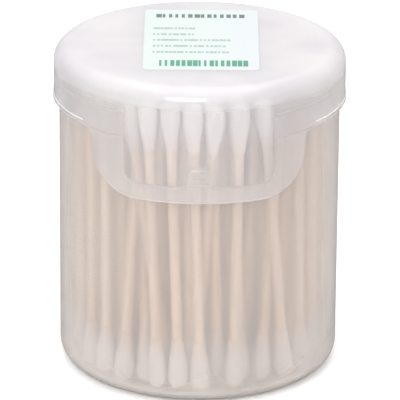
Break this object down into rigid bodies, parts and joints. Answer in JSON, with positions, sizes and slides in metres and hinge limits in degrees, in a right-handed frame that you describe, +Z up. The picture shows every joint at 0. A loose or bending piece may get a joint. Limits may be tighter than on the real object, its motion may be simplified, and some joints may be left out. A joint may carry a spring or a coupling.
{
  "type": "cotton swab tub",
  "caption": "Round frosted plastic tub with a hinged flip lid and front tongue latch, filled with double-ended cotton swabs.",
  "frame": {"origin": "middle of the tub's underside", "axes": "+Z up along the tub's axis, -Y towards the latch at the front, +Y towards the hinge at the back"},
  "size_m": [0.0704, 0.0736, 0.0801],
  "materials": {
    "frosted_plastic": "frosted translucent polypropylene, smooth",
    "label_paper": "coated paper sticker",
    "stick_wood": "pale birch, matt",
    "cotton": "wound cotton, soft"
  },
  "bodies": {
    "tub": {"tub_body": "frosted_plastic", "sticks_ring_1": "stick_wood", "sticks_ring_2": "stick_wood", "sticks_ring_3": "stick_wood", "sticks_ring_4": "stick_wood", "sticks_ring_5": "stick_wood", "sticks_ring_6": "stick_wood", "upper_buds_ring_1": "cotton", "upper_buds_ring_2": "cotton", "upper_buds_ring_3": "cotton", "upper_buds_ring_4": "cotton", "upper_buds_ring_5": "cotton", "upper_buds_ring_6": "cotton", "lower_buds_ring_1": "cotton", "lower_buds_ring_2": "cotton", "lower_buds_ring_3": "cotton", "lower_buds_ring_4": "cotton", "lower_buds_ring_5": "cotton", "lower_buds_ring_6": "cotton"},
    "lid": {"lid": "frosted_plastic", "top_label": "label_paper"}
  },
  "joints": [
    {"name": "lid_hinge", "type": "hinge", "parent": "tub", "child": "lid", "pos_m": [0, 0.0367, 0.0671], "axis": [-1, 0, 0], "range_deg": [0, 120]}
  ]
}
